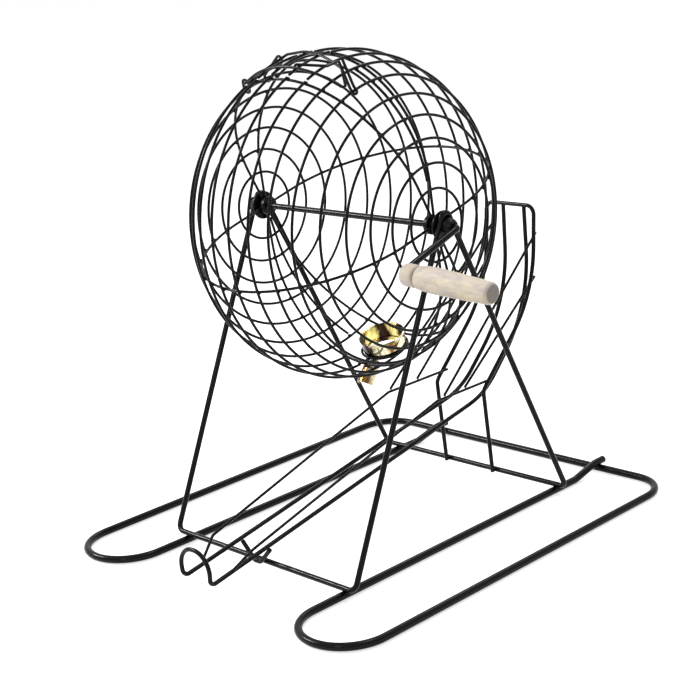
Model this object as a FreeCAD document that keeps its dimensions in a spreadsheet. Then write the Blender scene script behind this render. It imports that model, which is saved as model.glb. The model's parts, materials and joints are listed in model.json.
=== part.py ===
"""Wire raffle drum on a rod stand, with a hand crank, a ball cup and a ball run.

Frame: millimetres, +X along the axle towards the crank, -Y towards the end where
the balls come to rest, +Z up. The origin is on the floor under the axle's middle.
"""
import FreeCAD, Part
import math
import os
import Sketcher
from FreeCAD import Placement, Rotation, Vector

doc = FreeCAD.newDocument("raffle_drum")

# ---------------------------------------------------------------- driving sizes
SIZES = [
    ("base_rod_dia", 4.8, "rod of the floor frame"),
    ("stand_rod_dia", 3.5, "rod of the stand that carries the axle"),
    ("chute_rod_dia", 2.8, "rod of the ball run"),
    ("guard_wire_dia", 1.8, "wire of the side guards and chords"),
    ("cage_wire_dia", 1.7, "wire of the cage, its door and latch"),
    ("axle_dia", 4.0, "axle, crank arm and crank pin, one bent rod"),
    ("base_half_width", 127.3, "outer runner, from the middle"),
    ("runner_inset", 9.2, "inner runner inside the legs"),
    ("runner_front", 148.6, "middle to the front of the hairpins"),
    ("base_back", 144.6, "middle to the back bar"),
    ("base_corner_radius", 24.0, "bend of the two back corners"),
    ("runner_lift_length", 22.0, "length over which an inner runner rises onto the back bar"),
    ("runner_lift_bend", 12.0, "bends of that rise"),
    ("runner_overhang", 4.0, "inner runner past the back bar"),
    ("stand_half_depth", 96.5, "crossbars, from the middle"),
    ("stand_corner_radius", 5.0, "bend between crossbar and leg"),
    ("stand_arch_radius", 3.4, "bend of the legs over the bearing"),
    ("axle_height", 199.2, "axle above the floor"),
    ("cage_arc", 75.4, "radius of the cage's rounded side, at the rings"),
    ("cage_core", 24.6, "distance of that arc's centre from the axle"),
    ("cage_offset", -1.9, "cage middle from the stand's middle, along the axle"),
    ("ring_reach_1", 7.3, "innermost pair of rings, along the side from the cage's middle"),
    ("ring_reach_2", 21.4, "second pair of rings"),
    ("ring_reach_3", 34.1, "third pair of rings"),
    ("ring_reach_4", 48.0, "fourth pair of rings"),
    ("ring_reach_5", 63.6, "fifth pair of rings"),
    ("ring_reach_6", 78.3, "sixth pair of rings"),
    ("ring_reach_7", 92.7, "seventh pair of rings"),
    ("ring_reach_8", 107.1, "eighth pair of rings"),
    ("ring_reach_9", 121.6, "outermost pair of rings, on the cage's flat ends"),
    ("side_rib_angle", 15.0, "rib between back and top, about the axle from +Y"),
    ("door_angle", 105.0, "middle of the door"),
    ("door_opening", 22.0, "angle between the two ribs beside the door"),
    ("stiffener_angle", 97.8, "short rib beside the door, on the crank side"),
    ("outlet_angle", 285.75, "middle of the ball outlet"),
    ("outlet_opening", 22.5, "angle between the two ribs beside the outlet"),
    ("rib_end_radius", 4.6, "inner end of a rib, from the axle"),
    ("hub_flange_radius", 5.9, "cage hub, flange"),
    ("hub_flange_thickness", 3.2, "cage hub, flange"),
    ("hub_boss_radius", 3.6, "cage hub, boss"),
    ("hub_boss_length", 2.3, "cage hub, boss outside the flange"),
    ("hub_end_gap", 0.5, "far hub to its bearing"),
    ("bearing_bore_clearance", 0.04, "axle in its bearing, on the radius"),
    ("bearing_neck_radius", 3.5, "bearing, where the stand's arch grips it"),
    ("bearing_flange_radius", 9.0, "bearing, inner flange"),
    ("bearing_flange_thickness", 1.2, "bearing, inner flange"),
    ("bearing_cap_radius", 5.2, "bearing, outer cap"),
    ("bearing_cap_rim", 0.8, "bearing, straight rim of the cap"),
    ("bearing_cap_length", 5.0, "bearing, whole cap"),
    ("bearing_cap_dome", 8.0, "bearing, radius of the cap's dome"),
    ("bearing_nose_radius", 3.4, "bearing, nose of the cap"),
    ("arm_gap", 0.75, "bearing's cap to the crank arm"),
    ("crank_length", 51.0, "axle to crank pin"),
    ("crank_angle", 198.0, "crank arm about the axle, from +Y"),
    ("crank_bend", 2.5, "bend of the rod at both ends of the arm"),
    ("pin_droop", 3.4, "slope of the crank pin, in degrees"),
    ("pin_length", 48.0, "crank pin from the arm"),
    ("end_nut_radius", 4.4, "push nut on the axle's far end"),
    ("end_nut_thickness", 2.0, "push nut on the axle's far end"),
    ("end_nut_gap", 0.3, "push nut to its bearing"),
    ("grip_gap", 2.8, "arm to the grip's near end"),
    ("grip_length", 63.4, "wooden grip"),
    ("grip_collar_radius", 6.2, "grip, collar beside the arm"),
    ("grip_collar_length", 9.6, "grip, collar beside the arm"),
    ("grip_groove", 0.55, "grip, depth of the groove after the collar"),
    ("grip_belly_radius", 7.4, "grip at its thickest"),
    ("grip_tip_radius", 6.2, "grip at its free end"),
    ("grip_neck_curve", 160.0, "grip, radius of the barrel's first quarter"),
    ("grip_barrel_curve", 1200.0, "grip, radius of the rest of the barrel"),
    ("grip_bore_clearance", 0.08, "pin in the grip, on the radius"),
    ("grip_bore_depth_gap", 1.0, "pin's end to the end of its bore"),
    ("grip_edge_radius", 1.0, "rounding of the grip's ends"),
    ("post_half_width", 20.8, "posts of the ball run's frame"),
    ("post_bend_y", 89.3, "where a post turns back"),
    ("post_bend_z", 64.2, "where a post turns back"),
    ("post_shoulder_y", 145.9, "corner of a post's long curve"),
    ("post_shoulder_z", 117.0, "corner of a post's long curve"),
    ("post_curve", 84.0, "radius of a post's long curve"),
    ("run_top_y", 151.2, "top crossbar of the ball run"),
    ("run_top_z", 176.4, "top crossbar of the ball run"),
    ("weld_gap", 0.05, "between two pieces that a weld joins"),
    ("run_corner_radius", 6.0, "corners of the ball run's frame"),
    ("rail_half_gap", 12.2, "floor rails, from the middle"),
    ("far_rail_knee_x", 8.8, "far rail at its lower corner, from the middle"),
    ("far_rail_shoulder_x", 7.2, "far rail at its upper corner, from the middle"),
    ("far_rail_top_x", 5.8, "far rail at its top, from the middle"),
    ("rail_shoulder_z", 107.0, "upper corner of a rail's curve"),
    ("rail_upper_curve", 92.0, "radius of a rail's upper curve"),
    ("rail_knee_y", 100.0, "lower corner of a rail's curve"),
    ("rail_knee_z", 57.6, "lower corner of a rail's curve"),
    ("rail_lower_curve", 52.0, "radius of a rail's lower curve"),
    ("rail_front_y", 146.4, "middle to the ball stop at the front"),
    ("rail_front_z", 10.6, "height of the rails at the ball stop"),
    ("stop_half_width", 14.6, "ball stop, at its top"),
    ("stop_height", 20.0, "ball stop above the rails"),
    ("stop_bend", 12.4, "ball stop, radius of its top"),
    ("stop_foot_bend", 3.6, "ball stop, radius of its feet"),
    ("saddle_foot_half", 2.6, "saddle under the rails, half its flat foot"),
    ("guard_height_left", 70.5, "level part of the left guard"),
    ("guard_height_right", 68.8, "level part of the right guard"),
    ("guard_knee_left", 40.0, "where the left guard starts to fall"),
    ("guard_knee_right", 47.0, "where the right guard starts to fall"),
    ("guard_front_y", 117.0, "where a guard turns down, in front"),
    ("guard_front_z", 25.0, "where a guard turns down, in front"),
    ("guard_end_y", 129.5, "guard's end on the rail, in front"),
    ("guard_bend", 7.0, "bends of a guard"),
    ("chord_low_foot_left", 67.0, "left lower chord, foot on the guard"),
    ("chord_low_foot_right", 73.0, "right lower chord, foot on the guard"),
    ("chord_low_end_y", 151.0, "lower chords' ends"),
    ("chord_low_end_left", 142.0, "left lower chord, height of its end"),
    ("chord_low_end_right", 127.8, "right lower chord, height of its end"),
    ("chord_high_foot_left", 41.0, "left upper chord, foot on the guard"),
    ("chord_high_foot_right", 53.0, "right upper chord, foot on the guard"),
    ("chord_high_end_y", 154.6, "upper chords' ends"),
    ("chord_high_end_left", 162.0, "left upper chord, height of its end"),
    ("chord_high_end_right", 157.4, "right upper chord, height of its end"),
    ("cup_radius", 14.0, "ball cup, outside"),
    ("cup_wall", 0.8, "ball cup and lip, wall"),
    ("cup_depth", 10.2, "ball cup, mouth to floor, outside"),
    ("cup_corner", 1.7, "ball cup, rounding of the floor's edge"),
    ("cup_hole_radius", 11.5, "ball cup, way out for the ball"),
    ("cup_mouth_radius", 87.0, "axle to the cup's mouth"),
    ("cup_position", -1.5, "cup from the cage's middle, along the axle"),
    ("cup_lean", 3.0, "lean of the cup towards the crank, in degrees"),
    ("cup_rim_dia", 1.6, "rolled rim of the cup"),
    ("lip_radius", 6.0, "lip under the cup, outside"),
    ("lip_length", 17.0, "lip under the cup"),
    ("lip_drop", 3.0, "start of the lip's middle line, below the cup's floor"),
    ("lip_aside", 9.0, "start of the lip's middle line, from the cup's middle"),
    ("lip_shift", -2.6, "middle of the lip from the middle of the cup, along the axle"),
    ("lip_slope", 37.0, "lip away from the cage, in degrees"),
    ("door_lift", 2.1, "door frame above the rings, centre to centre"),
    ("door_wire_reach", 9.8, "door wires, either side of the door's middle, in degrees"),
    ("door_bend", 1.6, "corners of the door frame"),
    ("door_side_easing", 3.0, "door's long sides bent tighter than the rings, by this radius"),
    ("door_front_angle", 112.0, "long side of the door frame"),
    ("door_front_start", -34.0, "long side: where it runs out straight, at the hinge end"),
    ("door_front_end", 40.0, "long side: where it runs out straight, at the latch end"),
    ("door_back_angle_hinge", 96.5, "short side of the door frame, at the hinge end"),
    ("door_back_angle_latch", 104.3, "short side of the door frame, at the latch end"),
    ("door_back_start", -12.0, "short side: where it runs out straight, at the hinge end"),
    ("door_back_end", 26.0, "short side: where it runs out straight, at the latch end"),
    ("door_front_tail", 12.0, "straight end of the long side, at the hinge"),
    ("door_back_tail", 15.0, "straight end of the short side, at the hinge"),
    ("door_latch_tail", 6.0, "straight ends of both sides, at the latch"),
    ("hinge_loop_play", 0.6, "hinge loop round its ring and round the door's bar"),
    ("hinge_bar_gap", 0.45, "end of a hinge loop past the door's slanting bar"),
    ("hinge_loop_angle", 6.0, "hinge loops, either side of the door's middle"),
    ("latch_pivot_angle", 110.3, "eye of the latch on its door wire"),
    ("latch_top_angle", 106.0, "finger loop of the latch"),
    ("latch_hook_angle", 110.9, "latch where it drops past its ring"),
    ("latch_lift", 8.6, "finger loop of the latch above the rings"),
    ("latch_leg_gap", 3.0, "between the latch's two legs"),
    ("latch_knee", 25.5, "where the latch rises, along the side"),
    ("latch_top", 32.0, "finger loop, along the side"),
    ("latch_play", 0.3, "latch round its door wire and past its ring"),
    ("latch_bight", 0.6, "foot of the latch past its ring"),
    ("latch_eye_bend", 1.4, "bend of the latch's eye"),
    ("latch_knee_bend", 2.2, "bend where the latch rises"),
    ("latch_top_bend", 1.6, "bend of the finger loop"),
    ("latch_leg_bend", 3.0, "bend where a leg drops past the ring"),
    ("latch_foot_bend", 1.45, "bends between the two legs"),
]

sheet = doc.addObject("Spreadsheet::Sheet", "Sizes")
for row, (alias, value, note) in enumerate(SIZES, start=1):
    sheet.set(f"A{row}", alias)
    sheet.set(f"B{row}", str(value))
    sheet.setAlias(f"B{row}", alias)
    sheet.set(f"C{row}", note)
doc.recompute()


def size(alias):
    """A driving size, read from the sheet."""
    return float(sheet.get(alias))


# ---------------------------------------------------------------- derived sizes
RING_PAIRS = 9
HINGE_RING = 6         # ring that the door hangs on, counted from the far end
REST_RING = 12         # ring that the door's free end lies over
LATCH_RING = 13        # ring that the latch drops past
PIVOT_RING = 10        # ring in whose line the latch's door wire lies
OUTLET_RINGS = (8, 9)  # rings that stop at the outlet's ribs

base_r = size("base_rod_dia") / 2
stand_r = size("stand_rod_dia") / 2
chute_r = size("chute_rod_dia") / 2
guard_r = size("guard_wire_dia") / 2
wire_r = size("cage_wire_dia") / 2
axle_r = size("axle_dia") / 2
axle_z = size("axle_height")
cage_x = size("cage_offset")
half_turn = math.pi / 2 * size("cage_arc")
crossbar_z = size("base_rod_dia") + stand_r
rib_arc = size("cage_arc") - size("cage_wire_dia")
hub_end = rib_arc - wire_r + size("hub_boss_length")
bearing_start = hub_end - cage_x + size("hub_end_gap")
leg_x = bearing_start + size("bearing_flange_thickness") + stand_r
door_half = size("door_opening") / 2
outlet_half = size("outlet_opening") / 2
subparts = []


def keep(obj, label):
    """Marks a document object as a finished sub-part."""
    obj.Label = label
    subparts.append(obj)
    return obj


# ---------------------------------------------------------------- bent rods
def rounded_path(points, bends, closed=False):
    """A wire through points, with an arc of the given radius at each bend."""
    points = [Vector(*p) for p in points]
    count = len(points)
    corners = range(count) if closed else range(1, count - 1)
    leave, reach, arcs = {}, {}, {}
    for i in corners:
        here = points[i]
        back = (points[i - 1] - here).normalize()
        ahead = (points[(i + 1) % count] - here).normalize()
        turn = math.pi - back.getAngle(ahead)
        run = bends[i] * math.tan(turn / 2)
        bisector = (back + ahead).normalize()
        to_centre = bends[i] / math.cos(turn / 2)
        middle = here + bisector * (to_centre - bends[i])
        reach[i] = here + back * run
        leave[i] = here + ahead * run
        arcs[i] = Part.Arc(reach[i], middle, leave[i]).toShape()
    edges = []
    last = count if closed else count - 1
    for i in range(last):
        if i in arcs:
            edges.append(arcs[i])
        start = leave.get(i, points[i])
        end = reach.get((i + 1) % count, points[(i + 1) % count])
        if (end - start).Length > 1e-4:
            edges.append(Part.LineSegment(start, end).toShape())
    return Part.Wire(edges)


def sweep(edges, radius):
    """A round rod along a run of edges."""
    first = edges[0]
    start = first.valueAt(first.FirstParameter)
    heading = first.tangentAt(first.FirstParameter)
    section = Part.Wire(Part.makeCircle(radius, start, heading))
    return Part.Wire(edges).makePipeShell([section], True, False)


def rod_solid(path, radius):
    """A round rod along a path, checked against its length. A closed one is two halves."""
    edges = path.OrderedEdges
    if path.isClosed():
        half = len(edges) // 2
        solid = sweep(edges[:half], radius).fuse(sweep(edges[half:], radius))
    else:
        solid = sweep(edges, radius)
    wanted = math.pi * radius ** 2 * path.Length
    if abs(solid.Volume - wanted) > 0.01 * wanted or len(solid.Solids) != 1:
        raise ValueError(f"rod volume {solid.Volume:.1f}, expected {wanted:.1f}")
    return solid.Solids[0]


def bent_rod(label, points, bends, radius, closed=False):
    """A sub-part bent from one rod. bends is one radius, or one for each point."""
    if not isinstance(bends, (list, tuple)):
        bends = [bends] * len(points)
    start = Vector(*points[0])
    local = [Vector(*point) - start for point in points]
    obj = doc.addObject("Part::Feature", label)
    obj.Shape = rod_solid(rounded_path(local, bends, closed), radius)
    obj.Placement = Placement(start, Rotation())
    return keep(obj, label)


# ---------------------------------------------------------------- turned pieces
def turned_body(label, outline):
    """A PartDesign body turned about X.

    outline lists (distance along X, radius, arc) as expressions on the sheet.
    Each point opens the edge to the next one: an arc of that radius bulging
    away from the axle, or a line where arc is None. A radius of "0" lies on X.
    """
    body = doc.addObject("PartDesign::Body", label)
    plane = [f for f in body.Origin.OriginFeatures if f.Role == "XY_Plane"][0]
    sketch = body.newObject("Sketcher::SketchObject", label + "_outline")
    sketch.AttachmentSupport = [(plane, "")]
    sketch.MapMode = "FlatFace"
    places = [(evaluate(px), evaluate(pr)) for px, pr, _ in outline]
    count = len(outline)
    ends = []
    for i, (_, _, arc) in enumerate(outline):
        start, end = places[i], places[(i + 1) % count]
        ends.append(add_edge(sketch, start, end, arc))
    for i in range(count):
        geo, _, tail = ends[i]
        next_geo, head, _ = ends[(i + 1) % count]
        sketch.addConstraint(Sketcher.Constraint("Coincident", geo, tail, next_geo, head))
    for i, (px, pr, arc) in enumerate(outline):
        geo, head, _ = ends[i]
        bind_point(sketch, geo, head, i, px, pr, places[i])
        if arc is not None:
            row = sketch.addConstraint(Sketcher.Constraint("Radius", geo, evaluate(arc)))
            sketch.renameConstraint(row, f"arc{i}")
            sketch.setExpression(f"Constraints.arc{i}", arc)
    doc.recompute()
    turn = body.newObject("PartDesign::Revolution", label + "_turned")
    turn.Profile = sketch
    turn.ReferenceAxis = (sketch, ["H_Axis"])
    turn.Angle = 360
    doc.recompute()
    body.Tip = turn
    return keep(body, label)


def evaluate(expression):
    """The value of an expression that uses sheet sizes, at the sheet's present values."""
    return float(doc.getObject("Sizes").evalExpression(expression))


def add_edge(sketch, start, end, arc):
    """A line or an arc from start to end; returns its number and its two end codes."""
    a, b = Vector(start[0], start[1], 0), Vector(end[0], end[1], 0)
    if arc is None:
        return sketch.addGeometry(Part.LineSegment(a, b)), 1, 2
    radius = evaluate(arc)
    chord = b - a
    side = Vector(-chord.y, chord.x, 0).normalize()
    if side.y > 0:
        side = -side
    drop = math.sqrt(radius ** 2 - (chord.Length / 2) ** 2)
    centre = (a + b) / 2 + side * drop
    first = math.atan2(a.y - centre.y, a.x - centre.x)
    second = math.atan2(b.y - centre.y, b.x - centre.x)
    circle = Part.Circle(centre, Vector(0, 0, 1), radius)
    forward = (second - first) % (2 * math.pi) < math.pi
    if forward:
        return sketch.addGeometry(Part.ArcOfCircle(circle, first, second)), 1, 2
    return sketch.addGeometry(Part.ArcOfCircle(circle, second, first)), 2, 1


def bind_point(sketch, geo, code, number, along, radius, place):
    """Ties one outline point to its two expressions."""
    for name, kind, text, value in (("along", "DistanceX", along, place[0]),
                                    ("out", "DistanceY", radius, place[1])):
        if name == "out" and radius == "0":
            sketch.addConstraint(Sketcher.Constraint("PointOnObject", geo, code, -1))
        elif name == "along" and along == "0":
            sketch.addConstraint(Sketcher.Constraint("PointOnObject", geo, code, -2))
        else:
            row = sketch.addConstraint(Sketcher.Constraint(kind, -1, 1, geo, code, value))
            sketch.renameConstraint(row, f"{name}{number}")
            sketch.setExpression(f"Constraints.{name}{number}", text)


# ---------------------------------------------------------------- places on the cage
def cage_point(along, angle, lift=0.0):
    """A point beside the rings' surface.

    along is measured on the surface from the cage's middle, angle about the
    axle from +Y, and lift outwards from the ring wires' centre line.
    """
    arc = size("cage_arc")
    if abs(along) <= half_turn:
        tilt = along / arc
        x = (arc + lift) * math.sin(tilt)
        r = size("cage_core") + (arc + lift) * math.cos(tilt)
    else:
        x = math.copysign(arc + lift, along)
        r = size("cage_core") - (abs(along) - half_turn)
    turn = math.radians(angle)
    return Vector(x + cage_x, r * math.cos(turn), axle_z + r * math.sin(turn))


def ring_reach(number):
    """Expression for a ring's place along the side, for rings 1 to 18 from the far end."""
    if number > RING_PAIRS:
        return f"Sizes.ring_reach_{number - RING_PAIRS}"
    return f"-Sizes.ring_reach_{RING_PAIRS + 1 - number}"


def ring_place(number):
    """A ring's place along the side, from the cage's middle."""
    return evaluate(ring_reach(number))


def arc_ring(label, along, start, sweep, lift="0"):
    """A round ring, or part of one, about the axle, as a torus bound to the sheet."""
    name = doc.addObject("Part::Torus", label)
    where = f"({along})"
    limit = "pi / 2 * Sizes.cage_arc"
    tilt = f"({where} / Sizes.cage_arc * 180 / pi)"
    side = f"({where} < 0 ? -1 : 1)"
    reach = f"(Sizes.cage_arc + {lift})"
    rounded = f"Sizes.cage_core + {reach} * cos({tilt})"
    flat = f"Sizes.cage_core - (abs({where}) - {limit})"
    name.setExpression("Radius1", f"abs({where}) <= {limit} ? {rounded} : {flat}")
    name.setExpression("Radius2", "Sizes.cage_wire_dia / 2")
    name.Angle3 = sweep
    spin = Rotation(Vector(1, 0, 0), start) * Rotation(Vector(1, 1, 1), 120)
    name.Placement = Placement(Vector(0, 0, 0), spin)
    middle = f"abs({where}) <= {limit} ? {reach} * sin({tilt}) : {side} * {reach}"
    name.setExpression("Placement.Base.x", f"({middle}) + Sizes.cage_offset")
    name.setExpression("Placement.Base.z", "Sizes.axle_height")
    doc.recompute()
    return keep(name, label)


# ---------------------------------------------------------------- floor frame
def base_frame():
    """One rod: two hairpin runners joined by a back bar, its ends lying on the bar."""
    outer = size("base_half_width")
    inner = leg_x - size("runner_inset")
    hairpin = (outer - inner) / 2
    rise = size("runner_lift_bend")
    front = -size("runner_front")
    back = size("base_back")
    low, high = base_r, base_r + size("base_rod_dia")
    tail = back + size("runner_overhang")
    lift_end = back - size("base_rod_dia")
    lift_start = lift_end - size("runner_lift_length")
    side = [(inner, tail, high), (inner, lift_end, high), (inner, lift_start, low),
            (inner, front, low), (outer, front, low), (outer, back, low)]
    bends = [0, rise, rise, hairpin, hairpin, size("base_corner_radius")]
    left = [(-x, y, z) for x, y, z in side]
    bent_rod("base_frame", side + left[::-1], bends + bends[::-1], base_r)


# ---------------------------------------------------------------- stand
leg_aside = size("bearing_neck_radius") + stand_r
foot_reach = math.hypot(size("stand_half_depth"), axle_z - crossbar_z)
leg_angle = (math.atan2(size("stand_half_depth"), axle_z - crossbar_z)
             - math.asin(leg_aside / foot_reach))
apex_z = axle_z + leg_aside / math.sin(leg_angle)


def stand_frame():
    """One closed rod: two crossbars and four legs that grip each bearing and arch over it."""
    x, y, z = leg_x, size("stand_half_depth"), crossbar_z
    points = [(-x, -y, z), (x, -y, z), (x, 0, apex_z), (x, y, z), (-x, y, z), (-x, 0, apex_z)]
    corner, arch = size("stand_corner_radius"), size("stand_arch_radius")
    bent_rod("stand_frame", points, [corner, corner, arch] * 2, stand_r, closed=True)


def bearing(label, side):
    """Bearing under a stand arch: inner flange, grooved neck and domed outer cap."""
    bore = "Sizes.axle_dia / 2 + Sizes.bearing_bore_clearance"
    neck = "Sizes.bearing_neck_radius"
    flange = "Sizes.bearing_flange_thickness"
    groove_end = f"{flange} + Sizes.stand_rod_dia"
    cap_end = f"{groove_end} + Sizes.bearing_cap_length"
    rim_end = f"{groove_end} + Sizes.bearing_cap_rim"
    outline = [
        ("0", bore, None),
        ("0", "Sizes.bearing_flange_radius", None),
        (flange, "Sizes.bearing_flange_radius", None),
        (flange, neck, None),
        (groove_end, neck, None),
        (groove_end, "Sizes.bearing_cap_radius", None),
        (rim_end, "Sizes.bearing_cap_radius", "Sizes.bearing_cap_dome"),
        (cap_end, "Sizes.bearing_nose_radius", None),
        (cap_end, bore, None),
    ]
    body = turned_body(label, outline)
    flip = Rotation() if side > 0 else Rotation(Vector(0, 0, 1), 180)
    body.Placement = Placement(Vector(side * bearing_start, 0, axle_z), flip)


# ---------------------------------------------------------------- cage
def cage_rings():
    """Eighteen rings; some stop at the ribs beside the door or the outlet."""
    door_from = size("door_angle") - door_half
    door_to = size("door_angle") + door_half
    out_from = size("outlet_angle") - outlet_half
    out_to = size("outlet_angle") + outlet_half
    for number in range(1, 2 * RING_PAIRS + 1):
        label = f"cage_ring_{number:02d}"
        along = ring_reach(number)
        if number in OUTLET_RINGS:
            arc_ring(label + "_front", along, door_to, out_from - door_to)
            arc_ring(label + "_back", along, out_to, 360 + door_from - out_to)
        elif HINGE_RING < number < REST_RING:
            arc_ring(label, along, door_to, 360 + door_from - door_to)
        else:
            arc_ring(label, along, 0, 360)


def rib(label, angle, start, end, start_radius=None, end_radius=None):
    """A rib inside the rings, from one place along the side to another.

    Where a radius is given, the rib runs on past the rounded side, down the
    cage's flat end to that distance from the axle.
    """
    arc, core = rib_arc, size("cage_core")
    turn = math.radians(angle)
    out = Vector(0, math.cos(turn), math.sin(turn))
    centre = out * core

    def on_arc(tilt):
        return centre + Vector(math.sin(tilt), 0, 0) * arc + out * (arc * math.cos(tilt))

    first = -math.pi / 2 if start_radius else start / size("cage_arc")
    last = math.pi / 2 if end_radius else end / size("cage_arc")
    edges = []
    if start_radius:
        hub = on_arc(first) + out * (start_radius - core)
        edges.append(Part.LineSegment(hub, on_arc(first)).toShape())
    edges.append(Part.Arc(on_arc(first), on_arc((first + last) / 2), on_arc(last)).toShape())
    if end_radius:
        hub = on_arc(last) + out * (end_radius - core)
        edges.append(Part.LineSegment(on_arc(last), hub).toShape())
    obj = doc.addObject("Part::Feature", label)
    obj.Shape = rod_solid(Part.Wire(edges), wire_r)
    obj.Placement = Placement(Vector(cage_x, 0, axle_z), Rotation())
    keep(obj, label)


def cage_ribs():
    """Ribs from hub to hub, and the shorter ones beside the door and the outlet."""
    inner = size("rib_end_radius")
    side = size("side_rib_angle")
    door = size("door_angle")
    outlet = size("outlet_angle")
    full = {
        "cage_rib_back": side,
        "cage_rib_front": side + 180,
        "cage_rib_door_back": door - door_half,
        "cage_rib_door_front": door + door_half,
        "cage_rib_outlet_front": outlet - outlet_half,
        "cage_rib_outlet_back": outlet + outlet_half,
    }
    for label, angle in full.items():
        rib(label, angle, 0, 0, inner, inner)
    beside = size("cage_wire_dia") + size("weld_gap")
    mid_end = beside / math.sin(math.radians(outlet_half))
    stop = ring_place(OUTLET_RINGS[0] - 1) - size("cage_wire_dia")
    rib("cage_rib_outlet_left", outlet, 0, stop, start_radius=mid_end)
    rib("cage_rib_outlet_right", outlet, -stop, 0, end_radius=mid_end)
    spread = math.radians(size("stiffener_angle") - door + door_half)
    meet = beside / spread
    tilt = math.acos((meet - size("cage_core")) / rib_arc)
    rib("cage_rib_door_stiffener", size("stiffener_angle"),
        ring_place(REST_RING) - size("cage_wire_dia"), tilt * size("cage_arc"))


def cage_hub(label, side):
    """Hub that the ribs are welded to: a flange inside the ribs and a boss outside."""
    flange = "Sizes.hub_flange_thickness"
    whole = f"{flange} + Sizes.hub_boss_length"
    outline = [
        ("0", "Sizes.axle_dia / 2", None),
        ("0", "Sizes.hub_flange_radius", None),
        (flange, "Sizes.hub_flange_radius", None),
        (flange, "Sizes.hub_boss_radius", None),
        (whole, "Sizes.hub_boss_radius", None),
        (whole, "Sizes.axle_dia / 2", None),
    ]
    body = turned_body(label, outline)
    start = hub_end - size("hub_boss_length") - size("hub_flange_thickness")
    flip = Rotation() if side > 0 else Rotation(Vector(0, 0, 1), 180)
    body.Placement = Placement(Vector(side * start + cage_x, 0, axle_z), flip)


# ---------------------------------------------------------------- crank
cap_outside = leg_x + stand_r + size("bearing_cap_length")
crank_plane = cap_outside + size("arm_gap") + axle_r
arm_turn = math.radians(size("crank_angle"))
arm_out = Vector(0, math.cos(arm_turn), math.sin(arm_turn))
pin_root = Vector(crank_plane, 0, axle_z) + arm_out * size("crank_length")
droop = math.radians(size("pin_droop"))
pin_way = Vector(math.cos(droop), 0, -math.sin(droop))


def crank_rod():
    """Axle, crank arm and crank pin, bent from one rod."""
    far_end = -cap_outside - 2 * size("end_nut_thickness")
    pin_end = pin_root + pin_way * size("pin_length")
    points = [(far_end, 0, axle_z), (crank_plane, 0, axle_z), pin_root, pin_end]
    bent_rod("crank_rod", points, size("crank_bend"), axle_r)


def axle_end_nut():
    """Push nut that keeps the axle's far end in its bearing."""
    thick = "Sizes.end_nut_thickness"
    outline = [
        ("0", "Sizes.axle_dia / 2", None),
        ("0", "Sizes.end_nut_radius", None),
        (f"{thick} / 2", "Sizes.end_nut_radius", None),
        (thick, "Sizes.end_nut_radius - Sizes.end_nut_thickness / 2", None),
        (thick, "Sizes.axle_dia / 2", None),
    ]
    body = turned_body("axle_end_nut", outline)
    place = Vector(-cap_outside - size("end_nut_gap"), 0, axle_z)
    body.Placement = Placement(place, Rotation(Vector(0, 0, 1), 180))


def crank_grip():
    """Turned wooden grip, with a collar, a barrel and a blind bore for the pin."""
    bore = "Sizes.axle_dia / 2 + Sizes.grip_bore_clearance"
    collar = "Sizes.grip_collar_radius"
    collar_end = "Sizes.grip_collar_length"
    groove = f"{collar_end} + Sizes.grip_groove * 2"
    edge = "Sizes.grip_edge_radius"
    whole = "Sizes.grip_length"
    depth = "Sizes.pin_length - Sizes.grip_gap + Sizes.grip_bore_depth_gap"
    outline = [
        ("0", bore, None),
        ("0", f"{collar} - 2 * {edge}", None),
        (f"2 * {edge}", collar, None),
        (collar_end, collar, None),
        (f"{collar_end} + Sizes.grip_groove", f"{collar} - Sizes.grip_groove", None),
        (groove, f"{collar} + Sizes.grip_groove", "Sizes.grip_neck_curve"),
        (f"{collar_end} + {whole} / 4", "Sizes.grip_belly_radius",
         "Sizes.grip_barrel_curve"),
        (f"{whole} - {edge}", "Sizes.grip_tip_radius", None),
        (whole, f"Sizes.grip_tip_radius - {edge}", None),
        (whole, "0", None),
        (depth, "0", None),
        (depth, bore, None),
    ]
    body = turned_body("crank_grip", outline)
    turn = Rotation(Vector(1, 0, 0), pin_way)
    body.Placement = Placement(pin_root + pin_way * size("grip_gap"), turn)


# ---------------------------------------------------------------- ball run
def rail_height(y):
    """Height of the floor rails' centre line on their long slope, at a given y."""
    slope = ((size("rail_knee_z") - size("rail_front_z"))
             / (size("rail_knee_y") + size("rail_front_y")))
    return size("rail_front_z") + slope * (y + size("rail_front_y"))


def run_frame():
    """Frame of the ball run: two posts that rise, lean back and join at the top."""
    x = size("post_half_width")
    foot_y = size("stand_half_depth") - stand_r - chute_r
    side = [(x, foot_y, crossbar_z - stand_r / 2),
            (x, size("post_bend_y"), size("post_bend_z")),
            (x, size("post_shoulder_y"), size("post_shoulder_z")),
            (x, size("run_top_y"), size("run_top_z"))]
    bends = [0, size("run_corner_radius"), size("post_curve"), size("run_corner_radius")]
    left = [(-px, y, z) for px, y, z in side]
    bent_rod("run_frame", side + left[::-1], bends + bends[::-1], chute_r)


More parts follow.
